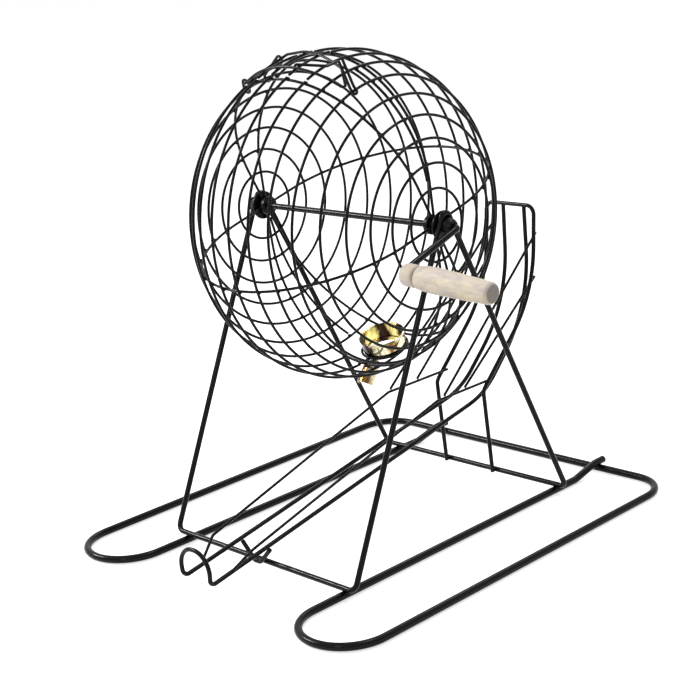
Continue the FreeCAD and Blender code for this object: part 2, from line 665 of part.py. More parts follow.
def floor_rails():
    """Both floor rails and the ball stop in front, bent from one rod."""
    x, top = size("rail_half_gap"), size("stop_half_width")
    front_y, front_z = -size("rail_front_y"), size("rail_front_z")
    rail_top = size("run_top_z") - chute_r - size("weld_gap")
    line = [(size("run_top_y"), rail_top),
            (size("run_top_y"), size("rail_shoulder_z")),
            (size("rail_knee_y"), size("rail_knee_z")),
            (front_y, front_z),
            (front_y, front_z + size("stop_height"))]
    near_x = [x, x, x, x, top]
    far_x = [size("far_rail_top_x"), size("far_rail_shoulder_x"), size("far_rail_knee_x"), x, top]
    near = [(px, y, z) for px, (y, z) in zip(near_x, line)]
    far = [(-px, y, z) for px, (y, z) in zip(far_x, line)]
    bends = [0, size("rail_upper_curve"), size("rail_lower_curve"),
             size("stop_foot_bend"), size("stop_bend")]
    bent_rod("floor_rails", near + far[::-1], bends + bends[::-1], chute_r)


def rail_saddle():
    """Short bent rod that stands the rails off the front crossbar."""
    y = -size("stand_half_depth") - stand_r - chute_r
    x = size("rail_half_gap") + chute_r / 4
    top = rail_height(y) - 2 * chute_r
    foot = size("saddle_foot_half")
    points = [(x, y, top), (foot, y, crossbar_z), (-foot, y, crossbar_z), (-x, y, top)]
    bent_rod("rail_saddle", points, size("stop_foot_bend"), chute_r)


guard_x = size("post_half_width") - chute_r - guard_r


def post_line(z):
    """A post's y at height z, on the straight part above its first bend."""
    rise = size("post_shoulder_z") - size("post_bend_z")
    share = (z - size("post_bend_z")) / rise
    return size("post_bend_y") + share * (size("post_shoulder_y") - size("post_bend_y"))


def side_guard(name, side):
    """Guard wire from a post, level and then falling beside the rails."""
    level = size(f"guard_height_{name}")
    end_y = -size("guard_end_y")
    off = (chute_r + guard_r) / math.sqrt(2)
    end = (size("rail_half_gap") + off, end_y, rail_height(end_y) + off)
    points = [(guard_x, post_line(level) + 2 * guard_r, level),
              (guard_x, size(f"guard_knee_{name}"), level),
              (guard_x, -size("guard_front_y"), size("guard_front_z")),
              end]
    points = [(side * x, y, z) for x, y, z in points]
    bent_rod(f"guard_{name}", points, size("guard_bend"), guard_r)


def side_chord(name, side, level):
    """Straight wire from a guard's level part up to a post. level is low or high."""
    foot_z = size(f"guard_height_{name}") + guard_r
    foot = Vector(side * guard_x, size(f"chord_{level}_foot_{name}"), foot_z)
    end = Vector(side * guard_x, size(f"chord_{level}_end_y"), size(f"chord_{level}_end_{name}"))
    slope = (end - foot).getAngle(Vector(0, 1, 0))
    start = foot + (end - foot).normalize() * (guard_r / math.tan(slope))
    label = f"chord_{level}_{name}"
    obj = doc.addObject("Part::Cylinder", label)
    obj.setExpression("Radius", "Sizes.guard_wire_dia / 2")
    reach = end - start
    obj.Height = reach.Length
    obj.Placement = Placement(start, Rotation(Vector(0, 0, 1), reach))
    keep(obj, label)


# ---------------------------------------------------------------- ball cup
outlet_turn = math.radians(size("outlet_angle"))
outlet_out = Vector(0, math.cos(outlet_turn), math.sin(outlet_turn))
outlet_side = Vector(0, math.sin(outlet_turn), -math.cos(outlet_turn))
lean = math.radians(size("cup_lean"))
cup_way = outlet_out * math.cos(lean) - Vector(math.sin(lean), 0, 0)
cup_mouth = (Vector(size("cup_position") + cage_x, 0, axle_z)
             + outlet_out * size("cup_mouth_radius"))
cup_turn = Rotation(Vector(1, 0, 0), cup_way)


def ball_cup():
    """Straight-sided cup that opens into the cage, with a hole in its floor for the ball."""
    outer = "Sizes.cup_radius"
    wall = "Sizes.cup_wall"
    depth = "Sizes.cup_depth"
    corner = "Sizes.cup_corner"
    hole = "Sizes.cup_hole_radius"
    outline = [
        ("0", outer, None),
        (f"{depth} - {corner}", outer, corner),
        (depth, f"{outer} - {corner}", None),
        (depth, hole, None),
        (f"{depth} - {wall}", hole, None),
        (f"{depth} - {wall}", f"{outer} - {corner}", f"{corner} - {wall}"),
        (f"{depth} - {corner}", f"{outer} - {wall}", None),
        ("0", f"{outer} - {wall}", None),
    ]
    body = turned_body("ball_cup", outline)
    body.Placement = Placement(cup_mouth, cup_turn)


def cup_rim():
    """Rolled rim round the cup's mouth."""
    obj = doc.addObject("Part::Torus", "cup_rim")
    obj.setExpression("Radius1", "Sizes.cup_radius")
    obj.setExpression("Radius2", "Sizes.cup_rim_dia / 2")
    back = cup_way * (size("cup_rim_dia") / 2)
    obj.Placement = Placement(cup_mouth - back, Rotation(Vector(0, 0, 1), cup_way))
    keep(obj, "cup_rim")


def cup_carrier():
    """Wire ring round the cup, with a stub to each rib beside the outlet."""
    rib_out = size("cage_core") + rib_arc
    rib_aside = rib_out * math.sin(math.radians(outlet_half))
    rib_in_line = rib_out * math.cos(math.radians(outlet_half))
    depth = (rib_in_line - 2 * wire_r - size("cup_mouth_radius")) / math.cos(lean)
    ring_radius = size("cup_radius") + wire_r
    centre = cup_mouth + cup_way * depth
    ring = doc.addObject("Part::Torus", "carrier_ring")
    ring.setExpression("Radius1", "Sizes.cup_radius + Sizes.cage_wire_dia / 2")
    ring.setExpression("Radius2", "Sizes.cage_wire_dia / 2")
    ring.Placement = Placement(centre, Rotation(Vector(0, 0, 1), cup_way))
    pieces = [ring]
    for side in (-1, 1):
        stub = doc.addObject("Part::Cylinder", f"carrier_stub_{len(pieces)}")
        stub.setExpression("Radius", "Sizes.cage_wire_dia / 2")
        stub.Height = rib_aside + 2 * wire_r - ring_radius
        start = centre + outlet_side * (side * ring_radius)
        stub.Placement = Placement(start, Rotation(Vector(0, 0, 1), outlet_side * side))
        pieces.append(stub)
    fuse = doc.addObject("Part::MultiFuse", "cup_carrier")
    fuse.Shapes = pieces
    doc.recompute()
    keep(fuse, "cup_carrier")


def lip_tool(name, radius, depth):
    """A round cutter on the cup's own middle line, from the mouth to a depth."""
    tool = doc.addObject("Part::Cylinder", name)
    tool.setExpression("Radius", radius)
    tool.setExpression("Height", depth)
    tool.Placement = Placement(cup_mouth, Rotation(Vector(0, 0, 1), cup_way))
    return tool


def cup_lip():
    """Half-round lip under the cup's floor, cut clear of the cup and of the ball's way."""
    slope = math.radians(size("lip_slope"))
    way = outlet_side * math.cos(slope) + outlet_out * math.sin(slope)
    start = (cup_mouth + outlet_out * (size("cup_depth") + size("lip_drop"))
             + outlet_side * size("lip_aside") + Vector(size("lip_shift"), 0, 0))
    across = Vector(1, 0, 0)
    frame = Rotation(across, way.cross(across), way, "ZXY")
    half = doc.addObject("Part::Cylinder", "lip_outside")
    half.setExpression("Radius", "Sizes.lip_radius")
    half.setExpression("Height", "Sizes.lip_length")
    half.Angle = 180
    half.Placement = Placement(start, frame)
    bore = doc.addObject("Part::Cylinder", "lip_inside")
    bore.setExpression("Radius", "Sizes.lip_radius - Sizes.cup_wall")
    bore.setExpression("Height", "Sizes.lip_length")
    bore.Placement = Placement(start, frame)
    seat = lip_tool("lip_seat", "Sizes.cup_radius + Sizes.weld_gap",
                    "Sizes.cup_depth + Sizes.weld_gap")
    passage = lip_tool("lip_passage", "Sizes.cup_hole_radius",
                       "Sizes.cup_depth + Sizes.lip_length")
    tools = doc.addObject("Part::MultiFuse", "lip_tools")
    tools.Shapes = [bore, seat, passage]
    cut = doc.addObject("Part::Cut", "cup_lip")
    cut.Base, cut.Tool = half, tools
    doc.recompute()
    keep(cut, "cup_lip")


# ---------------------------------------------------------------- door
def run_out(place, angle, length, lift):
    """A point straight on from the cage's side, length past a place along it."""
    radius = size("cage_arc") + lift
    turn = math.copysign(math.atan(abs(length) / radius), length)
    rise = radius / math.cos(turn) - size("cage_arc")
    return cage_point(place + turn * size("cage_arc"), angle, rise)


def door_side(start, end, start_angle, end_angle, start_tail, end_tail):
    """Corners of a side of the door: tangents to the cage, run out straight at both ends."""
    steps = 3
    lift = size("door_lift")
    pitch = (end - start) / steps
    reach = (size("cage_arc") + lift) / math.cos(pitch / 2 / size("cage_arc"))
    whole = end - start + start_tail + end_tail
    grow = (end_angle - start_angle) / whole
    points = [run_out(start, start_angle, -start_tail, lift)]
    for i in range(steps):
        place = start + (i + 0.5) * pitch
        angle = start_angle + grow * (place - start + start_tail)
        points.append(cage_point(place, angle, reach - size("cage_arc")))
    points.append(run_out(end, end_angle, end_tail, lift))
    return points


door_front = door_side(size("door_front_start"), size("door_front_end"),
                       size("door_front_angle"), size("door_front_angle"),
                       size("door_front_tail"), size("door_latch_tail"))
door_back = door_side(size("door_back_start"), size("door_back_end"),
                      size("door_back_angle_hinge"), size("door_back_angle_latch"),
                      size("door_back_tail"), size("door_latch_tail"))


def door_frame():
    """Closed wire frame of the door, standing proud of the rings at its hinge end."""
    corner = size("door_bend")
    curve = size("cage_arc") - size("door_side_easing")
    bends = [corner] + [curve] * (len(door_front) - 2) + [corner]
    bent_rod("door_frame", door_front + door_back[::-1], bends * 2, wire_r, closed=True)


def bar_angle(place):
    """Angle at which the door's slanting bar, at the hinge end, crosses a ring's line."""
    back = size("door_back_start") - size("door_back_tail")
    front = size("door_front_start") - size("door_front_tail")
    share = (place - back) / (front - back)
    rise = size("door_front_angle") - size("door_back_angle_hinge")
    return size("door_back_angle_hinge") + share * rise


def door_wires():
    """Cross wires of the door, one for each ring that the opening cuts."""
    reach = size("door_wire_reach")
    end = size("door_angle") + reach
    for number in range(HINGE_RING + 1, REST_RING):
        start = max(size("door_angle") - reach, bar_angle(ring_place(number)))
        arc_ring(f"door_wire_{number - HINGE_RING}", ring_reach(number), start, end - start,
                 "Sizes.door_lift - Sizes.cage_wire_dia")


def hinge_loops():
    """Two long loops that hang the frame's raised bar on the hinge ring."""
    loop_r = wire_r * 2 + size("hinge_loop_play")
    bar_start, bar_end = door_back[0], door_front[0]
    axle = Vector(0, 0, axle_z)
    for label, side in (("door_hinge_loop_back", -1), ("door_hinge_loop_front", 1)):
        angle = size("door_angle") + side * size("hinge_loop_angle")
        turn = math.radians(angle)
        along_ring = Vector(0, -math.sin(turn), math.cos(turn))
        ring = cage_point(ring_place(HINGE_RING), angle)
        share = (axle - bar_start).dot(along_ring) / (bar_end - bar_start).dot(along_ring)
        bar = bar_start + (bar_end - bar_start) * share
        way = (bar - ring).normalize()
        span = (bar - ring).Length - size("hinge_loop_play") + size("hinge_bar_gap")
        across = way.cross(along_ring).normalize()
        low, high = ring - way * loop_r, ring + way * (span + loop_r)
        points = [low - across * loop_r, low + across * loop_r,
                  high + across * loop_r, high - across * loop_r]
        bent_rod(label, points, loop_r, wire_r, closed=True)


def door_latch():
    """Spring wire latch: an eye on a door wire, a finger loop, and a bight past a ring."""
    pivot = ring_place(PIVOT_RING)
    ring = ring_place(LATCH_RING)
    eye, top, hook = (size("latch_pivot_angle"), size("latch_top_angle"),
                      size("latch_hook_angle"))
    cross_lift = size("door_lift") - size("cage_wire_dia")
    around = 2 * wire_r + size("latch_play")
    above = cross_lift + around
    turn = math.radians((top + hook) / 2)
    aside = Vector(0, math.sin(turn), -math.cos(turn)) * size("latch_leg_gap")
    share = (size("latch_knee") - pivot) / (size("latch_top") - pivot)
    knee = cage_point(size("latch_knee"), eye + (top - eye) * share, above + wire_r)
    leg = [cage_point(size("latch_top"), top, size("latch_lift")),
           cage_point(ring - wire_r, hook, around + wire_r),
           cage_point(ring + around + size("latch_bight"), hook, wire_r)]
    points = [cage_point(pivot - around, eye, cross_lift - around),
              cage_point(pivot - around, eye, above),
              knee]
    points += leg
    points += [p + aside for p in reversed(leg)]
    leg_bend, foot_bend = size("latch_leg_bend"), size("latch_foot_bend")
    bends = [0, size("latch_eye_bend"), size("latch_knee_bend"), size("latch_top_bend"),
             leg_bend, foot_bend, foot_bend, leg_bend, 0]
    bent_rod("door_latch", points, bends, wire_r)


# ---------------------------------------------------------------- build
base_frame()
stand_frame()
bearing("bearing_crank_side", 1)
bearing("bearing_far_side", -1)
run_frame()
floor_rails()
rail_saddle()
for side_name, sign in (("left", -1), ("right", 1)):
    side_guard(side_name, sign)
    side_chord(side_name, sign, "low")
    side_chord(side_name, sign, "high")
cage_rings()
cage_ribs()
cage_hub("cage_hub_crank_side", 1)
cage_hub("cage_hub_far_side", -1)
crank_rod()
axle_end_nut()
crank_grip()
ball_cup()
cup_rim()
cup_carrier()
cup_lip()
door_frame()
door_wires()
hinge_loops()
door_latch()
doc.recompute()

# ---------------------------------------------------------------- check and write
for obj in doc.Objects:
    if "Invalid" in obj.State or "Error" in obj.State:
        raise RuntimeError(f"{obj.Label} failed: {obj.State}")
os.makedirs("parts", exist_ok=True)
for obj in subparts:
    shape = obj.Shape
    if shape.isNull() or not shape.isValid() or not shape.Solids:
        raise RuntimeError(f"{obj.Label} has no valid solid")
    shape.exportStep(f"parts/{obj.Label}.step")
print(len(subparts), "sub-parts written")
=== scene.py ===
# %% [markdown]
# # A wire raffle drum with a crank
# The object is a round cage of steel wire that turns in a stand of bent rod. A wooden
# grip turns it, a small gold cup catches one ball at a time, and a run of wires leads
# the ball to the front. The frame already holds every rod, wire and turned piece at its
# real size. This notebook gives each of them its finish, models the pieces that need a
# finer shape than the frame has, and sets up a plain studio.

# %% Load the frame
import json
import math

import bpy
import numpy as np
from mathutils import Matrix, Vector


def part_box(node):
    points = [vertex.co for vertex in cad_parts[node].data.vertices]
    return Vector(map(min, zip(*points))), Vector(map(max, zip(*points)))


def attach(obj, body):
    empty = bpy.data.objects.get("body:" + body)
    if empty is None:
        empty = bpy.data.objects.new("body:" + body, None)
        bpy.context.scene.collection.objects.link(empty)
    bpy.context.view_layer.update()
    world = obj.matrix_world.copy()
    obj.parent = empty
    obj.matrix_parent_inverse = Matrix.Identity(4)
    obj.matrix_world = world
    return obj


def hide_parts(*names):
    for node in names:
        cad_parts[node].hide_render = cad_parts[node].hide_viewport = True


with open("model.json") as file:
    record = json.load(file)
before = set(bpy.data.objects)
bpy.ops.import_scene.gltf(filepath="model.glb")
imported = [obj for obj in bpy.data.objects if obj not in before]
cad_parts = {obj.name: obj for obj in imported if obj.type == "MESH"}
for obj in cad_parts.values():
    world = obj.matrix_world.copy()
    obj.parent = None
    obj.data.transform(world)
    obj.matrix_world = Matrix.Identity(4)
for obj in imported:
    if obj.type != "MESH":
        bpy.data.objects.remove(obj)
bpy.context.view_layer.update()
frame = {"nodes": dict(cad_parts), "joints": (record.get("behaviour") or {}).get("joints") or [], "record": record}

nodes = frame["nodes"]
MM = 0.001

# %% [markdown]
# ## Places read from the frame
# Every new piece takes the place of one that the frame has, or sits on its wires. The
# places are read from the frame, so that no place has to be measured twice: the cup's
# axis comes from its rim, the grip's from its joint, and the axle's height from a hub.

# %% Places of the main pieces
def vertices(node):
    """A node's points as an array."""
    mesh = nodes[node].data
    flat = np.empty(len(mesh.vertices) * 3)
    mesh.vertices.foreach_get("co", flat)
    return flat.reshape(-1, 3)


def ring_axis(node):
    """Middle and axis of a round node that is flat along its axis."""
    points = vertices(node)
    middle = points.mean(0)
    axis = np.linalg.svd((points - middle)[::7], full_matrices=False)[2][2]
    return Vector(middle), Vector(axis)


hub_low, hub_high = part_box("cage_hub_crank_side")
AXLE_Z = (hub_low.z + hub_high.z) / 2
joints = {joint["name"]: joint for joint in frame["joints"]}

# %% [markdown]
# ## Black paint
# Rods and wires are dipped in gloss black enamel. Up close the film isn't perfect: it
# has a faint orange peel, its gloss changes from place to place, a little dust lies on
# what faces up, and thin rubbed spots show where things have touched. These effects are
# used by several finishes, so each is a node group with its own inputs, built once.

# %% Helpers for nodes
def new_group(name, inputs, outputs):
    """An empty shader group. inputs lists (name, kind, default), outputs (name, kind)."""
    group = bpy.data.node_groups.new(name, "ShaderNodeTree")
    for label, kind, default in inputs:
        socket = group.interface.new_socket(label, in_out="INPUT", socket_type=f"NodeSocket{kind}")
        if default is not None:
            socket.default_value = default
    for label, kind in outputs:
        group.interface.new_socket(label, in_out="OUTPUT", socket_type=f"NodeSocket{kind}")
    start = group.nodes.new("NodeGroupInput")
    end = group.nodes.new("NodeGroupOutput")
    start.location.x, end.location.x = -900, 600
    return group, start, end


def add(tree, kind, place=(0, 0), **values):
    """A node with some of its sockets or settings given."""
    node = tree.nodes.new(f"ShaderNode{kind}")
    node.location = place
    for key, value in values.items():
        label = key.replace("_", " ")
        if label in node.inputs:
            node.inputs[label].default_value = value
        else:
            setattr(node, key, value)
    return node


def math_node(tree, operation, first, second=None, place=(0, 0), clamp=False):
    """A Math node; first and second are sockets or numbers."""
    node = add(tree, "Math", place, operation=operation, use_clamp=clamp)
    for socket, value in zip(node.inputs, (first, second)):
        if isinstance(value, bpy.types.NodeSocket):
            tree.links.new(value, socket)
        elif value is not None:
            socket.default_value = value
    return node.outputs[0]


def mix_colour(tree, factor, first, second, place=(0, 0)):
    """A colour mix; each argument is a socket or a value."""
    node = add(tree, "Mix", place, data_type="RGBA")
    for name, value in (("Factor_Float", factor), ("A_Color", first), ("B_Color", second)):
        socket = next(s for s in node.inputs if s.identifier == name)
        if isinstance(value, bpy.types.NodeSocket):
            tree.links.new(value, socket)
        else:
            socket.default_value = value
    return next(s for s in node.outputs if s.identifier == "Result_Color")


def remap(tree, value, low, high, to_low, to_high, place=(0, 0)):
    """A clamped Map Range node on a socket."""
    node = add(tree, "MapRange", place)
    node.clamp = True
    tree.links.new(value, node.inputs["Value"])
    for label, number in (("From Min", low), ("From Max", high),
                          ("To Min", to_low), ("To Max", to_high)):
        if isinstance(number, bpy.types.NodeSocket):
            tree.links.new(number, node.inputs[label])
        else:
            node.inputs[label].default_value = number
    return node.outputs["Result"]


def noise(tree, vector, scale, detail=2.0, roughness=0.5, place=(0, 0), distortion=0.0):
    """A noise texture's value; scale may be a socket."""
    node = add(tree, "TexNoise", place, Detail=detail, Roughness=roughness, Distortion=distortion)
    tree.links.new(vector, node.inputs["Vector"])
    if isinstance(scale, bpy.types.NodeSocket):
        tree.links.new(scale, node.inputs["Scale"])
    else:
        node.inputs["Scale"].default_value = scale
    return node.outputs["Fac"]


# %% Orange peel, and a gloss that changes from place to place
def build_film_group():
    """Height and roughness of a sprayed or dipped film, or of a moulded surface."""
    group, start, end = new_group(
        "surface film",
        [("Vector", "Vector", None), ("Peel Size", "Float", 900.0),
         ("Low Gloss", "Float", 0.2), ("High Gloss", "Float", 0.32)],
        [("Height", "Float"), ("Roughness", "Float")])
    peel = noise(group, start.outputs["Vector"], start.outputs["Peel Size"], 3.0, 0.55, (-600, 200))
    broad = noise(group, start.outputs["Vector"], 70.0, 4.0, 0.6, (-600, -100))
    rough = remap(group, broad, 0.3, 0.7, start.outputs["Low Gloss"],
                  start.outputs["High Gloss"], (-200, -100))
    group.links.new(peel, end.inputs["Height"])
    group.links.new(rough, end.inputs["Roughness"])
    return group


film_group = build_film_group()


# %% Dust on what faces up
def build_dust_group():
    """How much dust lies on a spot: most where it faces up, broken up by noise."""
    group, start, end = new_group(
        "dust", [("Vector", "Vector", None), ("Amount", "Float", 0.1)], [("Dust", "Float")])
    facing = add(group, "NewGeometry", (-900, -250))
    up = add(group, "SeparateXYZ", (-700, -250))
    group.links.new(facing.outputs["Normal"], up.inputs[0])
    lies = remap(group, up.outputs["Z"], 0.35, 1.0, 0.0, 1.0, (-500, -250))
    patches = noise(group, start.outputs["Vector"], 260.0, 6.0, 0.7, (-600, 100))
    patches = remap(group, patches, 0.42, 0.72, 0.15, 1.0, (-300, 100))
    both = math_node(group, "MULTIPLY", lies, patches, (0, 0))
    dust = math_node(group, "MULTIPLY", both, start.outputs["Amount"], (200, 0))
    group.links.new(dust, end.inputs["Dust"])
    return group


dust_group = build_dust_group()


# %% Rubbed spots
def build_rub_group():
    """A mask of small rubbed and scratched spots."""
    group, start, end = new_group(
        "rubbed spots",
        [("Vector", "Vector", None), ("Spot Size", "Float", 180.0), ("Spread", "Float", 0.1)],
        [("Rub", "Float")])
    where = noise(group, start.outputs["Vector"], start.outputs["Spot Size"], 5.0, 0.65,
                  (-600, 100), 0.4)
    fine = noise(group, start.outputs["Vector"], 2600.0, 2.0, 0.5, (-600, -200))
    edge = math_node(group, "SUBTRACT", 0.78, start.outputs["Spread"], (-400, 250))
    top = math_node(group, "ADD", edge, 0.05, (-200, 250))
    spots = remap(group, where, edge, top, 0.0, 1.0, (0, 100))
    grain = remap(group, fine, 0.4, 0.6, 0.3, 1.0, (0, -200))
    rub = math_node(group, "MULTIPLY", spots, grain, (250, 0))
    group.links.new(rub, end.inputs["Rub"])
    return group


rub_group = build_rub_group()


# %% [markdown]
# ## One recipe for black surfaces
# The stand's rods, the cage's wires and the moulded bearings are all black, but they
# don't look alike. The thick rods have a deep even gloss. The thin wires carry a
# thinner film, which balls and fingers have rubbed a little more. The bearings are
# moulded plastic, finer in grain and less shiny. One function builds all three.

# %% Black finishes
DUST_COLOUR = (0.34, 0.33, 0.31, 1)
PAINT_SPECULAR = 0.12


def place_group(tree, group, place, vector, **values):
    """A group node in a material, its Vector linked and its other inputs given."""
    node = tree.nodes.new("ShaderNodeGroup")
    node.node_tree = group
    node.location = place
    tree.links.new(vector, node.inputs["Vector"])
    for key, value in values.items():
        node.inputs[key.replace("_", " ")].default_value = value
    return node


def new_material(name):
    """A material with a Principled shader; returns it, its tree, the shader and Object coordinates."""
    material = bpy.data.materials.new(name)
    material.use_nodes = True
    tree = material.node_tree
    shader = next(n for n in tree.nodes if n.type == "BSDF_PRINCIPLED")
    shader.location = (700, 100)
    coordinates = add(tree, "TexCoord", (-1100, 0))
    return material, tree, shader, coordinates.outputs["Object"]


def black_finish(name, colour, under, gloss, peel_size, peel_depth, dust, rub, rub_metal):
    """Black paint or plastic. under is what shows where it is rubbed."""
    material, tree, shader, vector = new_material(name)
    film = place_group(tree, film_group, (-800, 300), vector,
                       Peel_Size=peel_size, Low_Gloss=gloss[0], High_Gloss=gloss[1])
    dusty = place_group(tree, dust_group, (-800, 0), vector, Amount=dust)
    rubbed = place_group(tree, rub_group, (-800, -250), vector, Spot_Size=240.0, Spread=rub)
    tone = noise(tree, vector, 40.0, 3.0, 0.5, (-800, 550))
    tone = remap(tree, tone, 0.3, 0.7, 0.0, 1.0, (-600, 550))
    deep = tuple(c * 0.7 for c in colour) + (1,)
    base = mix_colour(tree, tone, deep, tuple(colour) + (1,), (-350, 450))
    worn = mix_colour(tree, rubbed.outputs["Rub"], base, tuple(under) + (1,), (-100, 350))
    dusted = mix_colour(tree, dusty.outputs["Dust"], worn, DUST_COLOUR, (150, 350))
    tree.links.new(dusted, shader.inputs["Base Color"])
    rough = math_node(tree, "ADD", film.outputs["Roughness"], dusty.outputs["Dust"], (150, 100),
                      clamp=True)
    tree.links.new(rough, shader.inputs["Roughness"])
    metal = math_node(tree, "MULTIPLY", rubbed.outputs["Rub"], rub_metal, (150, -100))
    tree.links.new(metal, shader.inputs["Metallic"])
    bump = add(tree, "Bump", (400, -200), Strength=1.0, Distance=peel_depth)
    tree.links.new(film.outputs["Height"], bump.inputs["Height"])
    tree.links.new(bump.outputs["Normal"], shader.inputs["Normal"])
    shader.inputs["Specular IOR Level"].default_value = PAINT_SPECULAR
    return material


rod_paint = black_finish(
    "rod_paint", colour=(0.0035, 0.0035, 0.0038), under=(0.08, 0.077, 0.074),
    gloss=(0.14, 0.25), peel_size=650.0, peel_depth=0.00004, dust=0.02, rub=0.06, rub_metal=0.4)
wire_paint = black_finish(
    "wire_paint", colour=(0.003, 0.003, 0.0033), under=(0.07, 0.067, 0.065),
    gloss=(0.18, 0.32), peel_size=900.0, peel_depth=0.00003, dust=0.012, rub=0.08, rub_metal=0.4)
moulded_black = black_finish(
    "moulded_black", colour=(0.003, 0.003, 0.0034), under=(0.03, 0.03, 0.032),
    gloss=(0.28, 0.42), peel_size=1500.0, peel_depth=0.00002, dust=0.012, rub=0.08, rub_metal=0.0)

# %% [markdown]
# ## Polished gold cup
# The cup is spun from thin brass sheet and polished, so on a real one the walls mirror
# each other, the wires and the room in bright and dark bands. A plain white studio has
# little that is dark to mirror, so a stand-in for these bands is painted into the
# metal's colour, which means that they stay where they are from every side.
# They go round the cup's own axis: a Mapping node centres the pattern on the cup, and
# the angle about that axis picks a tone from a colour ramp. Noise bends the bands'
# edges, and faint rings from the lathe run round the wall.

# %% Cup finish
rim_middle, cup_axis = ring_axis("cup_rim")
if cup_axis.z > 0:
    cup_axis = -cup_axis
cup_turn = cup_axis.to_track_quat("Z", "Y")
print("cup mouth at", [round(v, 4) for v in rim_middle], "floor towards", [round(v, 3) for v in cup_axis])

# Tones of the painted reflection bands: bright and pale stand for mirrored light, brown and dark for mirrored
# shade.
REFLECTION_BRIGHT = (0.93, 0.77, 0.27)
REFLECTION_PALE = (0.94, 0.84, 0.56)
REFLECTION_BROWN = (0.24, 0.13, 0.035)
REFLECTION_DARK = (0.03, 0.016, 0.01)
REFLECTIONS_START = 0.403  # where the count of shares starts, as a share of a turn
REFLECTIONS_WAVER = 0.025
CUP_PAINTED_REFLECTIONS = [
    (0.04, 0.11, REFLECTION_DARK), (0.15, 0.19, REFLECTION_BRIGHT), (0.22, 0.28, REFLECTION_DARK), (0.315, 0.42, REFLECTION_BRIGHT),
    (0.48, 0.64, REFLECTION_DARK), (0.69, 0.755, REFLECTION_PALE), (0.79, 0.83, REFLECTION_BROWN), (0.86, 0.97, REFLECTION_PALE)]
LIP_PAINTED_REFLECTIONS = [(0.0, 0.3, REFLECTION_BRIGHT), (0.47, 0.62, REFLECTION_BROWN), (0.66, 0.9, REFLECTION_PALE)]


def gold_with_painted_reflections(name, bands):
    """Polished brass with painted reflections. bands lists where each painted reflection band starts and ends, in
    shares of a turn, and its tone.
    """
    material, tree, shader, vector = new_material(name)
    centred = add(tree, "Mapping", (-1500, 0), vector_type="TEXTURE")
    centred.inputs["Location"].default_value = rim_middle
    centred.inputs["Rotation"].default_value = cup_turn.to_euler()
    tree.links.new(vector, centred.inputs["Vector"])
    bend = add(tree, "TexNoise", (-1300, 300), Scale=160.0, Detail=3.0, Roughness=0.6)
    tree.links.new(vector, bend.inputs["Vector"])
    apart = add(tree, "SeparateXYZ", (-1300, 0))
    tree.links.new(centred.outputs["Vector"], apart.inputs[0])
    turned_by = math_node(tree, "ARCTAN2", apart.outputs["Y"], apart.outputs["X"], (-1100, 0))
    shift = remap(tree, bend.outputs["Fac"], 0.3, 0.7, REFLECTIONS_START - REFLECTIONS_WAVER,
                  REFLECTIONS_START + REFLECTIONS_WAVER, (-1100, 300))
    share = math_node(tree, "DIVIDE", turned_by, 2 * math.pi, (-950, 0))
    share = math_node(tree, "SUBTRACT", shift, share, (-800, 0))
    share = math_node(tree, "FRACT", share, None, (-650, 0))
    tints = add(tree, "ValToRGB", (-500, 0))
    ramp = [(place, tone) for start, end, tone in bands for place in (start, end)]
    stops = tints.color_ramp.elements
    for place, tone in ramp[1:-1]:
        stops.new(place)
    for stop, (place, tone) in zip(stops, ramp):
        stop.position, stop.color = place, tone + (1,)
    tree.links.new(share, tints.inputs["Fac"])
    tree.links.new(tints.outputs["Color"], shader.inputs["Base Color"])
    rings = add(tree, "TexWave", (-650, -300), wave_type="RINGS", rings_direction="Z",
                Scale=900.0, Distortion=0.6, Detail=1.0)
    tree.links.new(centred.outputs["Vector"], rings.inputs["Vector"])
    smudges = noise(tree, vector, 210.0, 5.0, 0.6, (-650, 300))
    rough = remap(tree, smudges, 0.4, 0.75, 0.12, 0.26, (-300, 300))
    tree.links.new(rough, shader.inputs["Roughness"])
    shader.inputs["Metallic"].default_value = 1.0
    bump = add(tree, "Bump", (300, -200), Strength=0.35, Distance=0.00001)
    tree.links.new(rings.outputs["Fac"], bump.inputs["Height"])
    tree.links.new(bump.outputs["Normal"], shader.inputs["Normal"])
    return material


# Both golds carry painted reflections in their base colour, the cup's and the lip's.
gold_painted_reflections = gold_with_painted_reflections("gold_painted_reflections", CUP_PAINTED_REFLECTIONS)
lip_painted_reflections = gold_with_painted_reflections("lip_painted_reflections", LIP_PAINTED_REFLECTIONS)

# %% [markdown]
# ## Turned wood grip
# The grip is a piece of pale, dry, unvarnished wood, turned on a lathe. Its grain runs
# along it in long soft streaks, with fine pores between them, and its free end shows
# end grain, which drinks in dirt and looks greyer. Rosy, yellow and grey blotches lie
# under the grain, and the groove behind the collar gets painted shade in its colour.
# The pattern is laid out in the grip's own directions: a Mapping node puts the local X
# axis along the crank pin.

# %% Wood finish
pin = joints["grip_spin"]
pin_start = Vector(pin["pos_m"])
pin_way = Vector(pin["axis"]).normalized()
pin_turn = pin_way.to_track_quat("X", "Z")
grip_reach = [(Vector(p) - pin_start).dot(pin_way) for p in vertices("crank_grip")]
grip_start, grip_end = min(grip_reach), max(grip_reach)
GROOVE = 10.15  # mm from the collar's end to the middle of the groove
print("grip from", round(grip_start, 4), "to", round(grip_end, 4), "along the pin")

ROSY_WOOD = (0.575, 0.475, 0.435, 1)
YELLOW_WOOD = (0.62, 0.53, 0.36, 1)
GREY_WOOD = (0.33, 0.315, 0.275, 1)
LATE_WOOD = (0.45, 0.37, 0.29, 1)
LIGHT_STREAK = (0.70, 0.64, 0.56, 1)
PORE = (0.30, 0.24, 0.18, 1)
# The next colour is painted shade for the groove behind the collar.
GROOVE_PAINTED_SHADE = (0.30, 0.23, 0.19, 1)
END_GRAIN = (0.20, 0.172, 0.158, 1)


